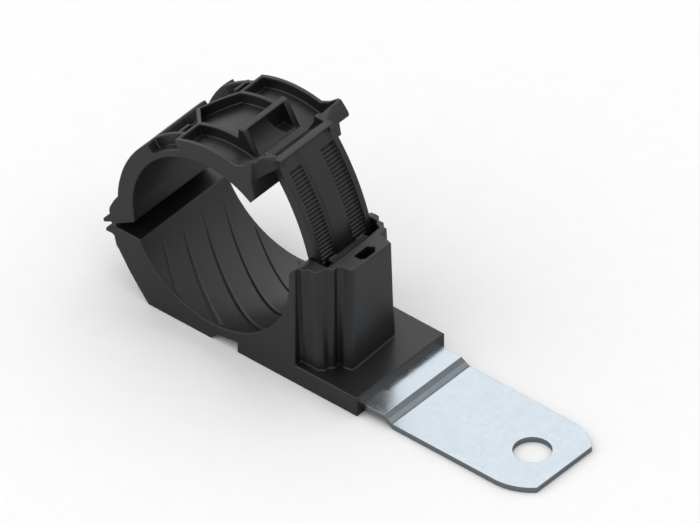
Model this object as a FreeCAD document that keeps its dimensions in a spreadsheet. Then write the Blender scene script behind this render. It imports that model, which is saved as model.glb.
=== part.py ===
# Ratchet cable clip on a steel fixing plate: a moulded clamp with a hinged strap arm, and a cranked plate with one bolt hole.
# X runs along the plate, Y across the clip, Z up. The origin is the centre of the bolt hole, on the plate's underside.
import FreeCAD, Part
import math
import os

import Sketcher
from FreeCAD import Placement, Rotation, Vector

doc = FreeCAD.newDocument("p_clip")

# Driving sizes, in millimetres and degrees
sizes = doc.addObject("Spreadsheet::Sheet", "Sizes")
driving = {
    # Mounting plate
    "plate_width": 19.0,
    "plate_thickness": 1.0,
    "bolt_hole": 6.4,
    "hole_to_end": 6.66,
    "crank_height": 1.0,
    "crank_top": 4.58,
    "crank_foot": 6.40,
    "plate_grip": 9.0,
    # Clamp base
    "clip_width": 21.4,
    "hole_to_flange": 27.42,
    "flange_height": 3.55,
    "bore_radius": 16.3,
    "bore_x": -30.47,
    "bore_z": 19.33,
    "mouth_rounding": 2.3,
    "side_wall": 1.25,
    "far_flank": 8.35,
    "tower_height": 23.3,
    "base_foot": -43.4,
    "jaw_height": 12.2,
    "notch_reach": -24.84,
    "notch_length": 5.56,
    "notch_depth": 2.0,
    "rib_height": 0.2,
    "rib_width": 0.4,
    "rib_pitch": 4.93,
    "rib_slant": 29.5,
    # Strap well, release slot and pawl
    "well_clearance": 0.25,
    "well_side_gap": 0.4,
    "well_floor": 1.1,
    "slot_half": 2.1,
    "slot_depth": 11.0,
    "chamber_top": 21.0,
    "pawl_half": 4.3,
    "pawl_thickness": 1.1,
    "pawl_top": 9.6,
    # Hinge
    "hinge_x": -50.93,
    "hinge_z": 12.5,
    "film_thickness": 0.83,
    "face_slope": 31.2,
    # Strap arm
    "arm_radius": 20.0,
    "arm_x": 21.13,
    "arm_z": 5.9,
    "inner_radius": 15.64,
    "inner_x": 19.91,
    "inner_z": 6.66,
    "floor_radius": 18.05,
    "rim": 0.6,
    "web": 0.6,
    "step_angle": 134.5,
    "cross_angle": 113.1,
    "ridge_angle": 118.2,
    "recess_angle": 166,
    "ear_inset": 2.0,
    "apex_angle": 129.5,
    "lip_height": 27.8,
    "lip_dip": 0.97,
    "lip_dip_half": 5.7,
    "scoop_x": 21.83,
    "scoop_half": 5.4,
    "scoop_wall": 1.0,
    "scoop_ramp": 6.0,
    # Toothed tongue
    "strap_setback": 3.74,
    "tongue_thickness": 1.85,
    "tongue_half": 6.6,
    "tongue_root": 41.0,
    "tongue_end": 6.0,
    "row_inner": 2.3,
    "row_outer": 5.5,
    "row_recess": 0.35,
    "tooth_depth": 0.4,
    "band_ledge": 0.6,
    "tooth_pitch": 1.0,
    "first_tooth": 36.0,
    "tooth_clearance": 0.06,
    # Sizes that follow from the others
    "tongue_radius": "=bore_x + bore_radius + strap_setback - hinge_x",
    "well_right": "=hinge_x + tongue_radius + 1.03",
    "chamber_right": "=well_right + 1.0",
    "slot_left": "=well_right + 1.4",
    "slot_right": "=well_right + 3.2",
    "lip_x": "=sqrt(tongue_radius ^ 2 - (lip_height - 2.4) ^ 2) - 10.415",
}
for row, (name, size) in enumerate(driving.items(), start=1):
    sizes.set("A%d" % row, name)
    sizes.set("B%d" % row, str(size))
    sizes.setAlias("B%d" % row, name)
doc.recompute()


def number(expression):
    """The value that an expression on the sheet has now."""
    found = sizes.evalExpression(expression)
    return float(getattr(found, "Value", found))


def named(words):
    """An expression in which each size's own name points at the sheet."""
    out, word = "", ""
    for letter in words + " ":
        if letter.isalnum() or letter == "_":
            word += letter
        else:
            out += ("Sizes." + word if word in driving else word) + letter
            word = ""
    return out.strip()


def polar(radius, angle, x="0", z="0"):
    """The corner at an angle on a circle, as two expressions."""
    return f"{x} + ({radius}) * cos({angle})", f"{z} + ({radius}) * sin({angle})"


def new_body(name):
    body = doc.addObject("PartDesign::Body", name)
    body.Label = name
    return body


def sketch(body, name, plane, corners, lift="0"):
    """A closed outline on an origin plane of a body.

    A corner is (x, y), or (x, y, radius, turn) where an arc of that radius leads to it, turning left (1) or right (-1).
    """
    made = body.newObject("Sketcher::SketchObject", name)
    found = [f for f in body.Origin.OriginFeatures if f.Role == plane]
    made.AttachmentSupport = (found[0], [""])
    made.MapMode = "FlatFace"
    if lift != "0":
        made.setExpression("AttachmentOffset.Base.z", named(lift))
    words = [tuple(named(str(word)) for word in corner[:2]) for corner in corners]
    points = [Vector(number(x), number(y), 0) for x, y in words]
    for n, corner in enumerate(corners):
        start, end = points[n - 1], points[n]
        if len(corner) == 2:
            made.addGeometry(Part.LineSegment(start, end), False)
            continue
        radius, turn = number(named(str(corner[2]))), corner[3]
        chord = end - start
        side = Vector(-chord.y, chord.x, 0) * (turn / chord.Length)
        reach = math.sqrt(max(radius ** 2 - chord.Length ** 2 / 4, 0))
        middle = (start + end) * 0.5 + side * reach
        first, last = (start, end) if turn > 0 else (end, start)
        angles = [math.atan2(p.y - middle.y, p.x - middle.x) for p in (first, last)]
        circle = Part.Circle(middle, Vector(0, 0, 1), radius)
        made.addGeometry(Part.ArcOfCircle(circle, angles[0], angles[1]), False)

    def tip(n, end):
        backwards = len(corners[n]) > 2 and corners[n][3] < 0
        return 2 if bool(end) != backwards else 1

    for n, corner in enumerate(corners):
        after = (n + 1) % len(corners)
        made.addConstraint(Sketcher.Constraint("Coincident", n, tip(n, True), after, tip(after, False)))
        for kind, axis, word, value in (
            ("DistanceX", -2, words[n][0], points[n].x),
            ("DistanceY", -1, words[n][1], points[n].y),
        ):
            if abs(value) < 1e-9:
                made.addConstraint(Sketcher.Constraint("PointOnObject", n, tip(n, True), axis))
                continue
            at = made.addConstraint(Sketcher.Constraint(kind, -1, 1, n, tip(n, True), value))
            made.setExpression("Constraints[%d]" % at, word)
        if len(corner) > 2:
            at = made.addConstraint(Sketcher.Constraint("Radius", n, number(named(str(corner[2])))))
            made.setExpression("Constraints[%d]" % at, named(str(corner[2])))
    return made


def round_sketch(body, name, plane, x, y, radius):
    """A circle on an origin plane of a body."""
    made = body.newObject("Sketcher::SketchObject", name)
    found = [f for f in body.Origin.OriginFeatures if f.Role == plane]
    made.AttachmentSupport = (found[0], [""])
    made.MapMode = "FlatFace"
    middle = Vector(number(named(x)), number(named(y)), 0)
    made.addGeometry(Part.Circle(middle, Vector(0, 0, 1), number(named(radius))), False)
    for kind, axis, words, value in (("DistanceX", -2, x, middle.x), ("DistanceY", -1, y, middle.y)):
        if abs(value) < 1e-9:
            made.addConstraint(Sketcher.Constraint("PointOnObject", 0, 3, axis))
            continue
        at = made.addConstraint(Sketcher.Constraint(kind, -1, 1, 0, 3, value))
        made.setExpression("Constraints[%d]" % at, named(words))
    at = made.addConstraint(Sketcher.Constraint("Radius", 0, number(named(radius))))
    made.setExpression("Constraints[%d]" % at, named(radius))
    return made


def feature(body, kind, name, profile, length, symmetric=False, flipped=False):
    """A pad or pocket of a sketch, with its length bound to the sheet."""
    made = body.newObject("PartDesign::" + kind, name)
    made.Profile = profile
    made.setExpression("Length", named(length))
    if symmetric:
        made.SideType = "Symmetric"
    made.Reversed = flipped
    return made


# Mounting plate: pressed from strip, cranked up where it enters the clamp
plate = new_body("mounting_plate")
side = sketch(plate, "plate_side", "XZ_Plane", [
    ("crank_foot - hole_to_flange", "0"),
    ("0", "0"),
    ("0", "plate_thickness"),
    ("crank_foot - hole_to_flange", "plate_thickness"),
    ("crank_top - hole_to_flange", "plate_thickness + crank_height"),
    ("-hole_to_flange - plate_grip", "plate_thickness + crank_height"),
    ("-hole_to_flange - plate_grip", "crank_height"),
    ("crank_top - hole_to_flange", "crank_height"),
])
feature(plate, "Pad", "plate_strip", side, "plate_width", symmetric=True)

# The end is a half round about the bolt hole, cut off square
flat_half = "sqrt(plate_width * plate_width / 4 - hole_to_end * hole_to_end)"
end = sketch(plate, "plate_end_outline", "XY_Plane", [
    ("0", "-plate_width / 2"),
    ("hole_to_end", "-" + flat_half, "plate_width / 2", 1),
    ("hole_to_end", flat_half),
    ("0", "plate_width / 2", "plate_width / 2", 1),
])
feature(plate, "Pad", "plate_end", end, "plate_thickness")
hole = round_sketch(plate, "bolt_hole_outline", "XY_Plane", "0", "0", "bolt_hole / 2")
feature(plate, "Pocket", "bolt_hole_cut", hole, "2 * plate_thickness", symmetric=True)

# Clamp base: one moulding with the saddle, the flange that holds the plate, and the tower that takes the strap
base = new_body("clamp_base_body")
mouth_x = "bore_x + bore_radius"
mouth_top = "tower_height - mouth_rounding"
wall_foot = mouth_x + " + side_wall"
rim_x = "bore_x - sqrt(bore_radius * bore_radius - (bore_z - jaw_height) * (bore_z - jaw_height))"
outline = sketch(base, "base_side", "XZ_Plane", [
    ("notch_reach - notch_length", "0"),
    ("notch_reach - notch_length + 1.2", "0.65 * notch_depth"),
    ("notch_reach", "notch_depth"),
    ("notch_reach", "0"),
    ("0", "0"),
    ("0", "flange_height"),
    (wall_foot, "flange_height"),
    (wall_foot, "tower_height"),
    (mouth_x, "tower_height"),
    (rim_x, "jaw_height"),
    ("hinge_x + film_thickness", "jaw_height"),
    ("hinge_x", "hinge_z"),
    ("hinge_x - 1.21", "hinge_z - 1.39"),
    ("hinge_x - 1.31", "hinge_z - 1.92"),
    ("hinge_x - 1.06", "hinge_z - 2.05"),
    ("hinge_x - 0.04", "hinge_z - 1.96"),
    ("hinge_x + 0.42", "hinge_z - 2.19"),
    ("hinge_x + 0.90", "hinge_z - 3.95"),
    ("hinge_x + 1.35", "hinge_z - 4.45"),
    ("base_foot - 3.83", "4.64"),
    ("base_foot - 1.75", "2.04"),
    ("base_foot", "0"),
])
feature(base, "Pad", "base_block", outline, "clip_width", symmetric=True)


# The far end of the wall behind the mouth leans in towards the top
flank = sketch(base, "far_flank_outline", "YZ_Plane", [
    ("clip_width / 2", "flange_height"),
    ("clip_width / 2 + 1", "flange_height"),
    ("clip_width / 2 + 1", "tower_height + 1"),
    ("far_flank", "tower_height + 1"),
    ("far_flank", "tower_height"),
], mouth_x + " - 0.6")
feature(base, "Pocket", "far_flank_cut", flank, "side_wall + 1", flipped=True)


def fluted(name, lift, near, far):
    """A plan outline of the tower: pairs of distances from the wall's foot and in from the clip's sides."""
    ends = [(mouth_x + " + 0.8", near[0]), (mouth_x + " + 0.8", far[0])]
    front = [(x, f"-(clip_width / 2 - {y})") for x, y in
             [ends[0]] + [(f"{wall_foot} + {x}", y) for x, y in near[1:]]]
    back = [(x, f"clip_width / 2 - {y}") for x, y in
            [ends[1]] + [(f"{wall_foot} + {x}", y) for x, y in far[1:]]]
    return sketch(base, name, "XY_Plane", front + back[::-1], lift)


# Tower: fluted outside, narrower at its top than at its foot so that it leaves the mould
foot = fluted("tower_foot", "flange_height - 0.5", [
    1.29, (0.42, 1.56), (1.60, 1.53), (3.47, 1.46), (4.42, 2.10), (4.45, 2.94),
    (5.13, 3.52), (5.00, 4.92), (6.28, 4.66), (7.54, 4.91), (7.73, 5.33),
], [
    1.29, (0.42, 1.56), (1.60, 1.53), (3.47, 1.46), (4.42, 2.10), (4.45, 2.94),
    (5.13, 3.52), (5.00, 4.92), (6.05, 4.72), (7.00, 4.97), (7.17, 5.45),
])
crown = fluted("tower_crown", "tower_height", [
    0.60, (1.22, 0.62), (1.75, 1.30), (2.96, 1.32), (3.49, 1.94), (3.75, 3.36),
    (4.81, 3.90), (4.67, 4.80), (5.42, 5.44), (6.98, 5.58), (7.32, 6.19),
], [
    2.50, (1.52, 2.59), (2.27, 3.43), (3.13, 3.35), (3.92, 4.15), (4.17, 4.17),
    (4.47, 4.18), (4.71, 5.94), (5.52, 6.09), (6.30, 6.23), (7.35, 6.49),
])
tower = base.newObject("PartDesign::AdditiveLoft", "tower")
tower.Profile = foot
tower.Sections = [crown]
tower.Ruled = True

# Bundle seat and its open mouth, rounded over at the tower
seat = sketch(base, "seat_outline", "XZ_Plane", [
    (rim_x, "tower_height + 5"),
    (rim_x, "jaw_height"),
    (mouth_x, "bore_z", "bore_radius", 1),
    (mouth_x, mouth_top),
    (mouth_x + " + mouth_rounding", "tower_height", "mouth_rounding", -1),
    (mouth_x + " + mouth_rounding", "tower_height + 5"),
])
feature(base, "Pocket", "seat_cut", seat, "clip_width + 2", symmetric=True)

# Well that the toothed strap runs down, curved about the hinge
well_radius = "(tongue_radius - tongue_thickness - well_clearance)"
well_low = f"hinge_x + sqrt({well_radius} * {well_radius} - (hinge_z - well_floor) * (hinge_z - well_floor))"
lip_high = "(tower_height + 1 - hinge_z)"
well_high = f"hinge_x + sqrt({well_radius} * {well_radius} - {lip_high} * {lip_high})"
well = sketch(base, "well_outline", "XZ_Plane", [
    ("well_right", "tower_height + 1"),
    ("well_right", "well_floor"),
    (well_low, "well_floor"),
    (well_high, "tower_height + 1", well_radius, 1),
])
feature(base, "Pocket", "well_cut", well, "2 * (tongue_half + well_side_gap)", symmetric=True)

# The well's far corner is filled in above the middle of the tower, clear of the strap
well_corner = sketch(base, "well_corner_outline", "XY_Plane", [
    ("well_right + 0.1", "row_outer + 0.25"),
    ("well_right + 0.1", "tongue_half + 0.1"),
    ("well_right - 0.4", "tongue_half + well_side_gap + 0.1"),
    ("well_right - 1.5", "tongue_half + well_side_gap + 0.1"),
    ("well_right - 1.05", "tongue_half - 0.2"),
], "0.75 * tower_height")
feature(base, "Pad", "well_corner_fill", well_corner, "0.25 * tower_height")

# Room behind the pawl, and the slot above it for the blade that frees the strap
chamber = sketch(base, "chamber_outline", "XZ_Plane", [
    ("well_right - 0.5", "chamber_top"),
    ("chamber_right", "chamber_top"),
    ("chamber_right", "well_floor + 3"),
    ("well_right - 0.5", "well_floor + 3"),
])
feature(base, "Pocket", "chamber_cut", chamber, "2 * (pawl_half + 0.2)", symmetric=True)
passage = sketch(base, "passage_outline", "XZ_Plane", [
    ("chamber_right - 0.2", "chamber_top"),
    ("slot_left + 0.2", "chamber_top"),
    ("slot_left + 0.2", "tower_height - slot_depth + 1"),
    ("chamber_right - 0.2", "tower_height - slot_depth + 1"),
])
feature(base, "Pocket", "passage_cut", passage, "slot_half", symmetric=True)
slot = sketch(base, "slot_outline", "XY_Plane", [
    ("slot_left", "-slot_half"),
    ("slot_right - 0.59", "-slot_half"),
    ("slot_right", "-slot_half + 0.7"),
    ("slot_right", "slot_half - 1.2"),
    ("slot_right - 0.86", "slot_half - 0.3"),
    ("slot_left", "slot_half - 0.9"),
], "tower_height - slot_depth")
feature(base, "Pocket", "slot_cut", slot, "slot_depth + 1", flipped=True)

# Pocket that the plate was moulded into
nest = sketch(base, "plate_nest", "XZ_Plane", [
    ("-plate_grip", "crank_height"),
    ("1", "crank_height"),
    ("1", "crank_height + plate_thickness"),
    ("-plate_grip", "crank_height + plate_thickness"),
])
feature(base, "Pocket", "nest_cut", nest, "plate_width", symmetric=True)


# Strap arm: drawn about the hinge, so that it turns about its own Y axis
arm = new_body("strap_arm_body")


def outer(angle, radius="arm_radius"):
    return polar(radius, angle, "arm_x", "arm_z")


def inner(angle):
    return polar("inner_radius", angle, "inner_x", "inner_z")


bow = sketch(arm, "arm_side", "XZ_Plane", [
    ("0", "0"),
    ("-0.23", "0.28"),
    ("-1.66", "-0.44"),
    ("-1.85", "-0.17"),
    ("-1.77", "0.25"),
    ("-1.25", "0.83"),
    ("-0.52", "1.73"),
    ("-0.64", "2.39"),
    ("-0.52", "3.19"),
    ("0.31", "4.93"),
    outer("179"),
    (*outer("77.5"), "arm_radius", -1),
    ("lip_x + 6.05", "lip_height - 1.5"),
    ("lip_x + 7.70", "lip_height - 0.1"),
    ("lip_x + 8.34", "lip_height"),
    ("lip_x + 9.20", "lip_height - 0.9"),
    ("lip_x + 9.90", "lip_height - 1.8"),
    ("lip_x + 10.05", "lip_height - 2.4"),
    ("lip_x + 7.85", "lip_height - 4.2"),
    ("lip_x + 8.40", "lip_height - 7.2"),
    inner("55.6"),
    (*inner("181.5"), "inner_radius", 1),
    ("4.60", "4.60 * tan(face_slope)"),
])
feature(arm, "Pad", "arm_bow", bow, "clip_width", symmetric=True)

# Relief in the arm's back, one floor radius throughout, left as ribs and rims
lip_back = [("lip_x + 8.2", "lip_height + 0.2"), ("lip_x + 8.2", "lip_height + 3")]


def relief(name, first, last, reach):
    """A sunk field between two angles, or as far as the lip where last is None."""
    far = [outer("72", "floor_radius"), *lip_back] if last is None else [
        outer(last, "floor_radius"), outer(last, "arm_radius + 6")]
    corners = [outer(first, "arm_radius + 6"), outer(first, "floor_radius")]
    corners.append((*far[0], "floor_radius", -1))
    corners += far[1:]
    field = sketch(arm, name + "_outline", "XZ_Plane", corners)
    feature(arm, "Pocket", name, field, reach, symmetric=True)


relief("inner_relief", "step_angle", None, "clip_width - 2 * (ear_inset + rim)")
relief("outer_relief", "cross_angle - 0.8", None, "clip_width - 2 * rim")


def slab(name, kind, corners, near, thickness, mirrored=True):
    """A pad or pocket of a side outline between two distances from the middle, on both sides of it."""
    drawn = sketch(arm, name + "_outline", "XZ_Plane", corners, near)
    made = feature(arm, kind, name, drawn, thickness, flipped=(kind == "Pocket"))
    if not mirrored:
        return made
    twin = arm.newObject("PartDesign::Mirrored", name + "_pair")
    twin.Originals = [made]
    twin.MirrorPlane = ([f for f in arm.Origin.OriginFeatures if f.Role == "XZ_Plane"][0], [""])
    arm.Tip = twin
    return twin


def sector(first, last, low, high):
    """A piece of a ring about the arm's centre."""
    return [(*outer(first, high), high, 1), outer(first, low), (*outer(last, low), low, -1), outer(last, high)]


slab("ear_relief", "Pocket", [
    outer("step_angle + 0.5", "arm_radius + 1"), outer("step_angle + 0.5", "floor_radius"),
    (*outer("cross_angle + 0.8", "floor_radius"), "floor_radius", -1),
    outer("cross_angle + 0.8", "arm_radius + 1"),
], "clip_width / 2 - ear_inset", "ear_inset + 0.5")
slab("ridge", "Pad", sector("ridge_angle + 0.8", "ridge_angle - 0.8", "floor_radius - 0.3", "arm_radius"),
     "scoop_half + 0.2", "clip_width / 2 - ear_inset - scoop_half")
slab("back_recess", "Pocket", [
    outer("recess_angle", "arm_radius + 1"), outer("recess_angle", "floor_radius"),
    (*outer("step_angle - 0.4", "floor_radius"), "floor_radius", -1),
    outer("step_angle - 0.4", "arm_radius + 1"),
], "-(clip_width / 2 - rim)", "6.4", mirrored=False)
slab("cross_web", "Pad", sector("cross_angle + 0.8", "cross_angle - 0.8", "floor_radius - 0.3", "arm_radius"),
     "scoop_half - 0.2", "clip_width / 2 - ear_inset - rim / 2 - scoop_half + 0.2")
slab("long_web", "Pad", sector("cross_angle", "82", "floor_radius - 0.3", "arm_radius"), "scoop_half - web", "web")

# Scoop: a raised three-sided box open towards the lip
scoop = sketch(arm, "scoop_outline", "XZ_Plane", [
    ("scoop_x - 0.3", "arm_z + floor_radius - 0.4"),
    ("scoop_x", "lip_height"),
    ("scoop_x + scoop_wall", "lip_height"),
    ("scoop_x + 3.8", "lip_height - 4.7"),
    ("scoop_x + 3.8", "arm_z + floor_radius - 1.2"),
])
feature(arm, "Pad", "scoop_block", scoop, "2 * scoop_half", symmetric=True)
hollow = sketch(arm, "scoop_hollow_outline", "XZ_Plane", [
    ("scoop_x + scoop_wall", "lip_height + 1"),
    ("scoop_x + scoop_wall", "lip_height - 0.4"),
    (*outer("75.5", "floor_radius"), "scoop_ramp", 1),
    (*outer("72", "floor_radius"), "floor_radius", -1),
    ("lip_x + 8.2", "lip_height + 1"),
])
feature(arm, "Pocket", "scoop_hollow", hollow, "2 * (scoop_half - scoop_wall)", symmetric=True)

pit = sketch(arm, "scoop_pit_outline", "XY_Plane", [
    ("scoop_x + scoop_wall", "0.1"),
    ("scoop_x + scoop_wall + 3.3", "scoop_half - scoop_wall - 0.4"),
    ("scoop_x + scoop_wall + 3.3", "scoop_half - scoop_wall"),
    ("scoop_x + scoop_wall", "scoop_half - scoop_wall"),
], "arm_z + floor_radius - 0.3")
feature(arm, "Pocket", "scoop_pit", pit, "6", flipped=True)

# Lip at the arm's end: lower in the middle, and rounded back at the near corner
dip = sketch(arm, "lip_dip_outline", "YZ_Plane", [
    ("-lip_dip_half", "lip_height - lip_dip"),
    ("lip_dip_half", "lip_height - lip_dip"),
    ("lip_dip_half + 3", "lip_height + 0.1"),
    ("-lip_dip_half - 3", "lip_height + 0.1"),
], "arm_x + 6.6")
feature(arm, "Pocket", "lip_dip_cut", dip, "5.4", flipped=True)
corner = sketch(arm, "lip_corner_outline", "XY_Plane", [
    ("arm_x + 7.80", "-clip_width / 2 - 1"),
    ("arm_x + 12", "-clip_width / 2 - 1"),
    ("arm_x + 12", "-tongue_half - 0.4"),
    ("arm_x + 10.1", "-tongue_half - 0.4"),
    ("arm_x + 9.2", "-clip_width / 2 + 3"),
    ("arm_x + 7.80", "-clip_width / 2", "4", 1),
], "lip_height - 4.2")
feature(arm, "Pocket", "lip_corner_cut", corner, "6", flipped=True)

# Tongue: a curved strap about the hinge, with two sunk rows of teeth on its outer side
def about_hinge(radius, angle):
    return polar(radius, angle)


tongue_inner = "(tongue_radius - tongue_thickness)"
strap = sketch(arm, "tongue_side", "XZ_Plane", [
    about_hinge("tongue_radius", "tongue_end"),
    (*about_hinge("tongue_radius", "tongue_root"), "tongue_radius", 1),
    about_hinge(tongue_inner, "tongue_root"),
    (*about_hinge(tongue_inner, "tongue_end"), tongue_inner, -1),
])
feature(arm, "Pad", "tongue", strap, "2 * tongue_half", symmetric=True)
root = sketch(arm, "tongue_root_outline", "XZ_Plane", [
    ("arm_x + 10.4", "lip_height - lip_dip"),
    ("arm_x + 7.0", "lip_height - lip_dip"),
    ("arm_x + 7.0", "lip_height - 5.2"),
    ("arm_x + 8.85", "lip_height - 3.3"),
    ("arm_x + 10.4", "sqrt(tongue_radius * tongue_radius - (arm_x + 10.4) * (arm_x + 10.4))"),
])
feature(arm, "Pad", "tongue_root_block", root, "2 * tongue_half", symmetric=True)
ramp = sketch(arm, "lip_ramp_outline", "XZ_Plane", [
    ("arm_x + 5.8", "arm_z + floor_radius - 0.7"),
    ("lip_x + 9.1", "lip_height - lip_dip"),
    ("lip_x + 9.1", "lip_height + 1"),
    ("arm_x + 5.8", "lip_height + 1"),
])
feature(arm, "Pocket", "lip_ramp", ramp, "2 * lip_dip_half", symmetric=True)
row_face = "(tongue_radius - row_recess)"
row_cut = sketch(arm, "tooth_row_outline", "XZ_Plane", [
    about_hinge("tongue_radius + 1", "tongue_end - 1"),
    (*about_hinge("tongue_radius + 1", "first_tooth + 4.1"), "tongue_radius + 1", 1),
    about_hinge(row_face, "first_tooth + 4.1"),
    (*about_hinge(row_face, "tongue_end - 1"), row_face, -1),
])
feature(arm, "Pocket", "tooth_row", row_cut, "2 * row_outer", symmetric=True)
tooth_root = "(tongue_radius - row_recess - tooth_depth)"
tooth_top = "(tongue_radius + 0.6)"
tooth_lean = f"0.86 * tooth_pitch * ({tooth_top} - {tooth_root}) / tooth_depth"
tooth = sketch(arm, "tooth_outline", "XZ_Plane", [
    about_hinge(tooth_top, "first_tooth"),
    about_hinge(tooth_root, "first_tooth"),
    about_hinge(tooth_top, "first_tooth + " + tooth_lean),
])
first_cut = feature(arm, "Pocket", "first_tooth_cut", tooth, "2 * row_outer", symmetric=True)
teeth = arm.newObject("PartDesign::PolarPattern", "teeth")
teeth.Originals = [first_cut]
teeth.Axis = ([f for f in arm.Origin.OriginFeatures if f.Role == "Y_Axis"][0], [""])
teeth.Mode = "Spacing"
teeth.setExpression("Offset", named("tooth_pitch"))
teeth.setExpression("Occurrences", named("floor((first_tooth - tongue_end) / tooth_pitch)"))
arm.Tip = teeth
band = sketch(arm, "middle_band_outline", "XZ_Plane", [
    about_hinge("tongue_radius", "tongue_end"),
    (*about_hinge("tongue_radius", "first_tooth + 4.6"), "tongue_radius", 1),
    about_hinge(tooth_root + " - 0.4", "first_tooth + 4.6"),
    (*about_hinge(tooth_root + " - 0.4", "tongue_end"), tooth_root + " - 0.4", -1),
])
feature(arm, "Pad", "middle_band", band, "2 * row_inner", symmetric=True)
slab("band_ledge", "Pocket", [
    about_hinge("tongue_radius + 1", "tongue_end - 1"),
    (*about_hinge("tongue_radius + 1", "first_tooth + 4.1"), "tongue_radius + 1", 1),
    about_hinge("tongue_radius - 0.2", "first_tooth + 4.1"),
    (*about_hinge("tongue_radius - 0.2", "tongue_end - 1"), "tongue_radius - 0.2", -1),
], "row_inner - band_ledge", "band_ledge + 0.05")

# Diagonal webs: a V in plan that rises from the relief's floor to the arm's outer radius
v_plan = new_body("v_plan")
v_foot_x = "arm_x + arm_radius * cos(cross_angle)"
v_apex_x = "arm_x + arm_radius * cos(apex_angle)"
v_run = "(arm_radius * (cos(cross_angle) - cos(apex_angle)))"
v_thick = f"web * sqrt({v_run} * {v_run} + scoop_half * scoop_half) / scoop_half"
v_lines = sketch(v_plan, "v_outline", "XY_Plane", [
    (v_foot_x, "-scoop_half"),
    (v_foot_x + " + " + v_thick, "-scoop_half"),
    (v_apex_x + " + " + v_thick, "0"),
    (v_foot_x + " + " + v_thick, "scoop_half"),
    (v_foot_x, "scoop_half"),
    (v_apex_x, "0"),
], "arm_z + floor_radius * sin(step_angle) - 2")
feature(v_plan, "Pad", "v_prism", v_lines, "arm_radius")
v_ring = new_body("v_ring")
ring = sketch(v_ring, "v_ring_outline", "XZ_Plane",
              sector("step_angle", "cross_angle - 2", "floor_radius - 0.3", "arm_radius"))
feature(v_ring, "Pad", "v_ring_pad", ring, "clip_width", symmetric=True)
v_webs = doc.addObject("Part::Common", "v_webs")
v_webs.Base = v_plan
v_webs.Tool = v_ring
strap_arm = doc.addObject("Part::MultiFuse", "strap_arm")
strap_arm.Label = "strap_arm"
strap_arm.Shapes = [arm, v_webs]

# Grip ribs: low ribs along the seat, slanted across the bundle
rib_plan = new_body("rib_plan")
rib_run = "bore_radius * tan(rib_slant)"
rib_span = "rib_width / cos(rib_slant)"
rib_start = "-3 * rib_pitch + 0.46"
rib = sketch(rib_plan, "rib_outline", "XY_Plane", [
    ("bore_x - bore_radius", f"{rib_start} + {rib_run}"),
    ("bore_x + bore_radius", f"{rib_start} - {rib_run}"),
    ("bore_x + bore_radius", f"{rib_start} - {rib_run} + {rib_span}"),
    ("bore_x - bore_radius", f"{rib_start} + {rib_run} + {rib_span}"),
], "1")
first_rib = feature(rib_plan, "Pad", "rib_prism", rib, "bore_z")
ribs = rib_plan.newObject("PartDesign::LinearPattern", "ribs")
ribs.Originals = [first_rib]
ribs.Direction = ([f for f in rib_plan.Origin.OriginFeatures if f.Role == "Y_Axis"][0], [""])
ribs.Mode = "Spacing"
ribs.setExpression("Offset", named("rib_pitch"))
ribs.Occurrences = 7
rib_plan.Tip = ribs
rib_ring = new_body("rib_ring")


def seat_at(radius, angle):
    return polar(radius, angle, "bore_x", "bore_z")


# The ribs' crest is a flatter arc than the seat, so each rib rises out of the seat and sinks back into it
crest_half = "bore_radius * sin(64)"
crest_rise = "(bore_radius * (1 - cos(64)) - rib_height)"
crest_radius = f"({crest_half} * {crest_half} + {crest_rise} * {crest_rise}) / (2 * {crest_rise})"
ring = sketch(rib_ring, "rib_ring_outline", "XZ_Plane", [
    seat_at("bore_radius + 0.3", "-148"),
    (*seat_at("bore_radius + 0.3", "-20"), "bore_radius + 0.3", 1),
    seat_at("bore_radius", "-20"),
    (*seat_at("bore_radius", "-148"), crest_radius, -1),
])
feature(rib_ring, "Pad", "rib_ring_pad", ring, "clip_width - 1.2", symmetric=True)
grip_ribs = doc.addObject("Part::Common", "grip_ribs")
grip_ribs.Base = rib_plan
grip_ribs.Tool = rib_ring
clamp_base = doc.addObject("Part::MultiFuse", "clamp_base")
clamp_base.Label = "clamp_base"
clamp_base.Shapes = [base, grip_ribs]

# Film hinge: the thin wedge of the same moulding that bends when the arm turns
film = new_body("film_hinge")
wedge = sketch(film, "film_side", "XZ_Plane", [
    ("0", "0"),
    ("film_thickness", "jaw_height - hinge_z"),
    ("film_thickness", "film_thickness * tan(face_slope)"),
])
feature(film, "Pad", "film", wedge, "clip_width", symmetric=True)

# Pawl: an upright finger from the well's floor, with three teeth that sit between the strap's
pawl = new_body("ratchet_pawl")
leg = "tongue_radius + 0.18"
face = "(tongue_radius + 2 * tooth_clearance)"
floor = "well_floor - hinge_z"
wall = "well_right - hinge_x"
pawl_side = sketch(pawl, "pawl_side", "XZ_Plane", [
    (leg, floor),
    (wall, floor),
    (wall, floor + " + 3"),
    (leg + " + pawl_thickness", floor + " + 3"),
    (leg + " + pawl_thickness", "pawl_top - 2"),
    (wall + " - 0.25", "pawl_top - 1"),
    (wall + " - 0.25", "pawl_top"),
    (f"sqrt({face} * {face} - pawl_top * pawl_top)", "pawl_top"),
    (f"sqrt({face} * {face} - (pawl_top - 2.3) * (pawl_top - 2.3))", "pawl_top - 2.3", face, -1),
    (leg, "pawl_top - 4.4"),
])
feature(pawl, "Pad", "pawl_finger", pawl_side, "2 * pawl_half", symmetric=True)
catch = "first_tooth - 25 * tooth_pitch"
pawl_teeth = []
for name, near in (("near_catch", "row_inner + 0.15"), ("far_catch", "-pawl_half + 0.15")):
    catch_side = sketch(pawl, name + "_outline", "XZ_Plane", [
        about_hinge("tongue_radius + 0.3", catch + " + 0.08"),
        about_hinge(tooth_root + " + 2 * tooth_clearance", catch + " + 0.08"),
        about_hinge("tongue_radius + 0.3", catch + " + 0.9 * tooth_pitch"),
    ], near)
    pawl_teeth.append(feature(pawl, "Pad", name, catch_side, "pawl_half - row_inner - 0.3"))
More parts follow.
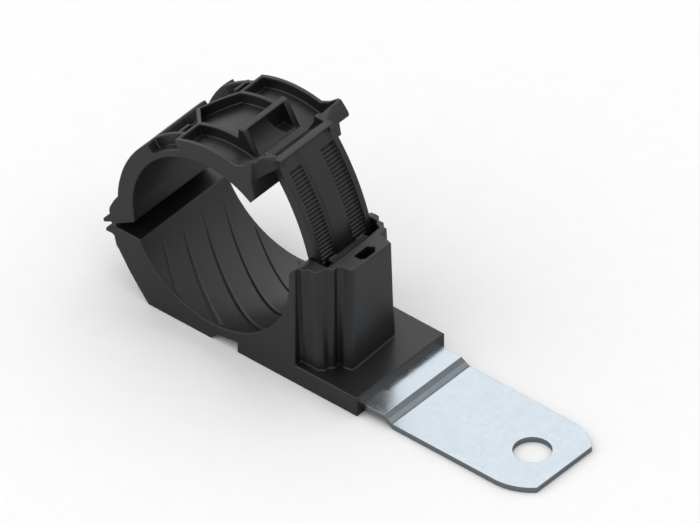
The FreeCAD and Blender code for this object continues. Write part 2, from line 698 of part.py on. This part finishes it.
catches = pawl.newObject("PartDesign::PolarPattern", "catches")
catches.Originals = pawl_teeth
catches.Axis = ([f for f in pawl.Origin.OriginFeatures if f.Role == "Y_Axis"][0], [""])
catches.Reversed = True
catches.Mode = "Spacing"
catches.setExpression("Offset", named("tooth_pitch"))
catches.Occurrences = 3
pawl.Tip = catches

# Places in the part's own frame
doc.recompute()
base_place = Placement(Vector(-number(named("hole_to_flange")), 0, 0), Rotation())
hinge_place = base_place.multiply(Placement(Vector(number(named("hinge_x")), 0, number(named("hinge_z"))), Rotation()))
clamp_base.Placement = base_place
for turning in (strap_arm, film, pawl):
    turning.Placement = hinge_place
doc.recompute()

# Every object is sound before anything is written
pieces = [plate, clamp_base, strap_arm, film, pawl]
for thing in doc.Objects:
    if "Invalid" in thing.State or "Error" in thing.State:
        raise RuntimeError("this object failed: " + thing.Label)
for piece in pieces:
    if piece.Shape.isNull() or not piece.Shape.isValid() or len(piece.Shape.Solids) != 1:
        raise RuntimeError("this piece isn't one sound solid: " + piece.Label)
os.makedirs("parts", exist_ok=True)
for piece in pieces:
    piece.Shape.exportStep(os.path.join("parts", piece.Label + ".step"))
    print(piece.Label, round(piece.Shape.Volume, 1), "mm3")
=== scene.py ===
import math

import bpy
from mathutils import Matrix, Vector


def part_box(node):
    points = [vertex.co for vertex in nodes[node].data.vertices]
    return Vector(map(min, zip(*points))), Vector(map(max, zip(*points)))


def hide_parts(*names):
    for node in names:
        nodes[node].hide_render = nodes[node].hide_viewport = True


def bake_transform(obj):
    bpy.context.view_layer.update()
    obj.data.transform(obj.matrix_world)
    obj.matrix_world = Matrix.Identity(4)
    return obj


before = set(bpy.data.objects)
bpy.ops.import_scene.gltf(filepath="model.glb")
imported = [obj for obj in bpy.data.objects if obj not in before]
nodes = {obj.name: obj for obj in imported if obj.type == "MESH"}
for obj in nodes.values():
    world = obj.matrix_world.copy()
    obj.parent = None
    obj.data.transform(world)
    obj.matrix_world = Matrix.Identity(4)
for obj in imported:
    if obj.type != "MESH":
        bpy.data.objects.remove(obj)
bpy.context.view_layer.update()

# Camera: a long lens far off, so that parallel edges stay parallel, as in a
# catalogue picture. It looks down on the clip from the bolt hole's side.
turn, tilt = math.radians(40.27), math.radians(39.48)
right = Vector((math.cos(turn), math.sin(turn), 0))
ahead = Vector((
    -math.sin(turn) * math.cos(tilt),
    math.cos(turn) * math.cos(tilt),
    -math.sin(tilt),
))
up = right.cross(ahead)
picture_width, pixels_per_metre = 700, 6300
aim_right, aim_up, distance = -0.028955, 0.030650, 0.5
camera_data = bpy.data.cameras.new("catalogue_camera")
camera_data.type = "ORTHO"
camera_data.ortho_scale = picture_width / pixels_per_metre
camera = bpy.data.objects.new("catalogue_camera", camera_data)
bpy.context.collection.objects.link(camera)
stand = right * aim_right + up * aim_up - ahead * distance
axes = Matrix((right, up, -ahead)).transposed().to_4x4()
camera.matrix_world = Matrix.Translation(stand) @ axes
bpy.context.scene.camera = camera
bpy.context.scene.view_settings.view_transform = "Standard"

# Base: the lower half of a moulding in black glass-filled nylon, with the seat,
# the fluted tower and the flange moulded over the plate. The mould leaves a
# satin skin with a faint spark-eroded grain and slightly rounded edges.


class Shade:
    """A shader value. Arithmetic on it adds the Math node that does the same."""

    def __init__(self, tree, socket):
        self.tree, self.socket = tree, socket

    def math(self, operation, *values):
        return self.add(
            "ShaderNodeMath", {"operation": operation}, dict(enumerate(values)))

    def add(self, kind, settings=None, inputs=None, out=0):
        """Any node: its settings first, then the numbers or links of its sockets."""
        node = self.tree.nodes.new(kind)
        for name, value in (settings or {}).items():
            if name == "stops":
                ramp = node.color_ramp
                while len(ramp.elements) < len(value):
                    ramp.elements.new(0.5)
                for stop, (position, grey) in zip(ramp.elements, value):
                    stop.position, stop.color = position, (grey, grey, grey, 1)
            else:
                setattr(node, name, value)
        for name, value in (inputs or {}).items():
            if isinstance(value, Shade):
                self.tree.links.new(value.socket, node.inputs[name])
            else:
                node.inputs[name].default_value = value
        return Shade(self.tree, node.outputs[out])

    def __add__(self, other):
        return self.math("ADD", self, other)

    def __radd__(self, other):
        return self.math("ADD", other, self)

    def __mul__(self, other):
        return self.math("MULTIPLY", self, other)

    def __rmul__(self, other):
        return self.math("MULTIPLY", other, self)

    def __sub__(self, other):
        return self.math("SUBTRACT", self, other)

    def __rsub__(self, other):
        return self.math("SUBTRACT", other, self)


def new_finish(name):
    """A fresh material: the material, its shader node and the place on the piece."""
    material = bpy.data.materials.new(name)
    material.use_nodes = True
    tree = material.node_tree
    shader = next(n for n in tree.nodes if n.type == "BSDF_PRINCIPLED")
    place = Shade(tree, None).add("ShaderNodeTexCoord", out="Object")
    return material, shader, place


def feed(shader, name, value):
    """Link a varying value to the shader's socket, or set a constant on it."""
    if isinstance(value, Shade):
        value.tree.links.new(value.socket, shader.inputs[name])
    else:
        shader.inputs[name].default_value = value


def blend_colours(share, first, second, mode="MIX"):
    """A Mix node for colours: the first where share is 0, the second where it is 1."""
    # Its sockets for numbers, vectors and colours share their names, so they go by number
    share_in, first_in, second_in, colour_out = 0, 6, 7, 2
    return share.add(
        "ShaderNodeMix", {"data_type": "RGBA", "blend_type": mode},
        {share_in: share, first_in: first, second_in: second}, out=colour_out)


def dress(node, material):
    node.data.materials.clear()
    node.data.materials.append(material)


nylon, shader, place = new_finish("satin_black_nylon")
cloud = place.add("ShaderNodeTexNoise", inputs={
    "Vector": place, "Scale": 160.0, "Detail": 3.0, "Roughness": 0.6})
grain = place.add("ShaderNodeTexNoise", inputs={
    "Vector": place, "Scale": 5200.0, "Detail": 2.0, "Roughness": 0.5})
darkest, lightest = (0.0035, 0.0035, 0.0037, 1), (0.0080, 0.0080, 0.0083, 1)
tint = cloud * 0.5 + grain * 0.5
feed(shader, "Base Color", blend_colours(tint, darkest, lightest))
feed(shader, "Roughness", cloud * 0.12 + grain * 0.08 + 0.30)
feed(shader, "Specular IOR Level", 0.80)
mould_radius, grain_depth = 0.00050, 0.00003
rounded = place.add("ShaderNodeBevel", {"samples": 8}, {"Radius": mould_radius})
feed(shader, "Normal", place.add("ShaderNodeBump", inputs={
    "Strength": 0.10, "Distance": grain_depth, "Height": grain, "Normal": rounded}))
dress(nodes["clamp_base"], nylon)

# Strap arm: the upper half of the same moulding, a ribbed bow with a lip for
# the thumb and a strap with two rows of fine teeth that dives into the tower.
dress(nodes["strap_arm"], nylon)

# Ratchet pawl: the springy finger inside the tower, of the same nylon. Its
# teeth hold the strap until a blade in the release slot bends it away.
dress(nodes["ratchet_pawl"], nylon)

# Film hinge: the thin skin of the same nylon that joins arm and base. It is
# moulded with them, and in the clip it bends along its whole width when the arm
# turns; here it is a fixed wedge in place of the hinge piece.
low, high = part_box("film_hinge")
hinge_z, nose = 0.0125, 0.00003
thickness = high[0] - low[0]
drop, rise = hinge_z - low[2], high[2] - hinge_z
rows = 6
corners, faces = [], []
for y in (low[1], high[1]):
    corners.append((low[0] + nose, y, hinge_z))
    for n in range(rows + 1):
        corners.append((low[0] + thickness, y, low[2] + (drop + rise) * n / rows))
far = rows + 2
for n in range(1, rows + 1):
    faces.append((n, n + 1, n + 1 + far, n + far))
    faces.append((0, n, n + 1))
    faces.append((far, n + 1 + far, n + far))
faces.append((0, far, 1 + far, 1))
faces.append((0, rows + 1, rows + 1 + far, far))
film_mesh = bpy.data.meshes.new("film_skin")
film_mesh.from_pydata(corners, [], faces)
film_mesh.validate()
film_mesh.materials.append(nylon)
film = bpy.data.objects.new("film_skin", film_mesh)
bpy.context.collection.objects.link(film)
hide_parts("film_hinge")
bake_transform(film)

# Mounting plate: cold-rolled strip, sheared and pierced, then bright zinc
# plated. The zinc is pale and slightly blue, with a faint flow along the strip.
zinc, shader, place = new_finish("bright_zinc")
along_plate = place.add("ShaderNodeSeparateXYZ", inputs={"Vector": place}, out="X")
surface = place.add("ShaderNodeNewGeometry", out="True Normal")
facing_up = place.add("ShaderNodeSeparateXYZ", inputs={"Vector": surface}, out="Z")
crystals = place.add("ShaderNodeTexVoronoi", inputs={
    "Vector": place, "Scale": 900.0, "Randomness": 1.0}, out="Color")
crystal_tone = place.add("ShaderNodeSeparateColor", inputs={"Color": crystals})
spangle = place.add("ShaderNodeTexNoise", inputs={
    "Vector": place, "Scale": 420.0, "Detail": 4.0, "Roughness": 0.65})
stretch = (60.0, 900.0, 60.0)
stretched = place.add(
    "ShaderNodeVectorMath", {"operation": "MULTIPLY"}, {0: place, 1: stretch})
rolled = place.add("ShaderNodeTexNoise", inputs={
    "Vector": stretched, "Scale": 3.0, "Detail": 3.0, "Roughness": 0.6})
mottle = spangle * 0.5 + crystal_tone * 0.3 + rolled * 0.2
skin = blend_colours(mottle, (0.62, 0.695, 0.755, 1), (0.765, 0.85, 0.92, 1))
# Painted reflection of the crank's two bends, which its single flat slope can't
# mirror: dark over its upper half, paler below, and dark again in a thin line at its foot
crank_start, crank_length = -0.02284, 0.00182
painted_bend_reflection = place.add(
    "ShaderNodeValToRGB",
    {"stops": ((0.0, 0.27), (0.44, 0.28), (0.52, 0.42), (0.86, 0.40), (0.93, 0.25))},
    {"Fac": (along_plate - crank_start) * (1 / crank_length)})
sloping = place.add(
    "ShaderNodeValToRGB", {"stops": ((0.90, 1.0), (0.97, 0.0))}, {"Fac": facing_up})
skin = blend_colours(sloping, skin, painted_bend_reflection, mode="MULTIPLY")
# The sheared edges are duller than the rolled faces, and part of their darkness
# is a painted reflection of the shaded floor beside them
level = facing_up.math("ABSOLUTE", facing_up)
dull_and_shaded_edges = place.add(
    "ShaderNodeValToRGB", {"stops": ((0.25, 1.0), (0.40, 0.0))}, {"Fac": level})
feed(shader, "Base Color", blend_colours(dull_and_shaded_edges, skin, (0.30, 0.335, 0.365, 1)))
feed(shader, "Metallic", 1.0)
feed(shader, "Roughness", mottle * 0.24 + 0.12)
burr_radius, rolling_depth = 0.00012, 0.00004
rounded = place.add("ShaderNodeBevel", {"samples": 8}, {"Radius": burr_radius})
feed(shader, "Normal", place.add("ShaderNodeBump", inputs={
    "Strength": 0.12, "Distance": rolling_depth, "Height": rolled, "Normal": rounded}))
dress(nodes["mounting_plate"], zinc)

# Studio: a pale sweep under the clip and two soft boxes, as for a catalogue
# picture. The sweep is no part of the clip.
paper, shader, place = new_finish("pale_paper")
fibre = place.add("ShaderNodeTexNoise", inputs={
    "Vector": place, "Scale": 300.0, "Detail": 3.0})
white = blend_colours(fibre, (0.91, 0.91, 0.91, 1), (0.94, 0.94, 0.94, 1))
# The camera sees white paper, but it throws less light back up at the clip
to_camera = place.add("ShaderNodeLightPath", out="Is Camera Ray")
feed(shader, "Base Color", blend_colours(to_camera, (0.46, 0.46, 0.46, 1), white))
feed(shader, "Roughness", 0.9)
feed(shader, "Specular IOR Level", 0.0)
sweep_size, sweep_drop = 6, 0.0001
bpy.ops.mesh.primitive_plane_add(size=sweep_size, location=(0, 0, -sweep_drop))
sweep = bpy.context.object
sweep.name = "paper_sweep"
dress(sweep, paper)

world = bpy.data.worlds.new("white_room")
bpy.context.scene.world = world
world.use_nodes = True
backdrop = next(n for n in world.node_tree.nodes if n.type == "BACKGROUND")
backdrop.inputs["Color"].default_value = (1, 1, 1, 1)
# The room is brightest overhead and to the left, as under a large lit ceiling
way = Shade(world.node_tree, None).add("ShaderNodeTexCoord", out="Generated")
to_right, to_back, overhead = (
    way.add("ShaderNodeSeparateXYZ", inputs={"Vector": way}, out=part) for part in "XYZ")
to_camera = way.add("ShaderNodeLightPath", out="Is Camera Ray")
glow = overhead * 0.36 - to_right * 0.28 - to_back * 0.08 + 0.69
strength = glow * (1 - to_camera) + to_camera
world.node_tree.links.new(strength.socket, backdrop.inputs["Strength"])
# The boxes light the clip, and the zinc doesn't mirror them
middle_of_clip = Vector((-0.04, 0, 0.01))
for name, spot, size, power in (
    ("soft_box_left", (-0.36, -0.42, 0.34), 0.8, 0.75),
    ("soft_box_above", (0.10, 0.25, 0.60), 0.7, 0.55),
):
    lamp_data = bpy.data.lights.new(name, "AREA")
    lamp_data.shape = "SQUARE"
    lamp_data.size = size
    lamp_data.energy = power
    lamp = bpy.data.objects.new(name, lamp_data)
    lamp.visible_glossy = False
    bpy.context.collection.objects.link(lamp)
    lamp.location = spot
    to_clip = middle_of_clip - lamp.location
    lamp.rotation_euler = to_clip.to_track_quat("-Z", "Y").to_euler()
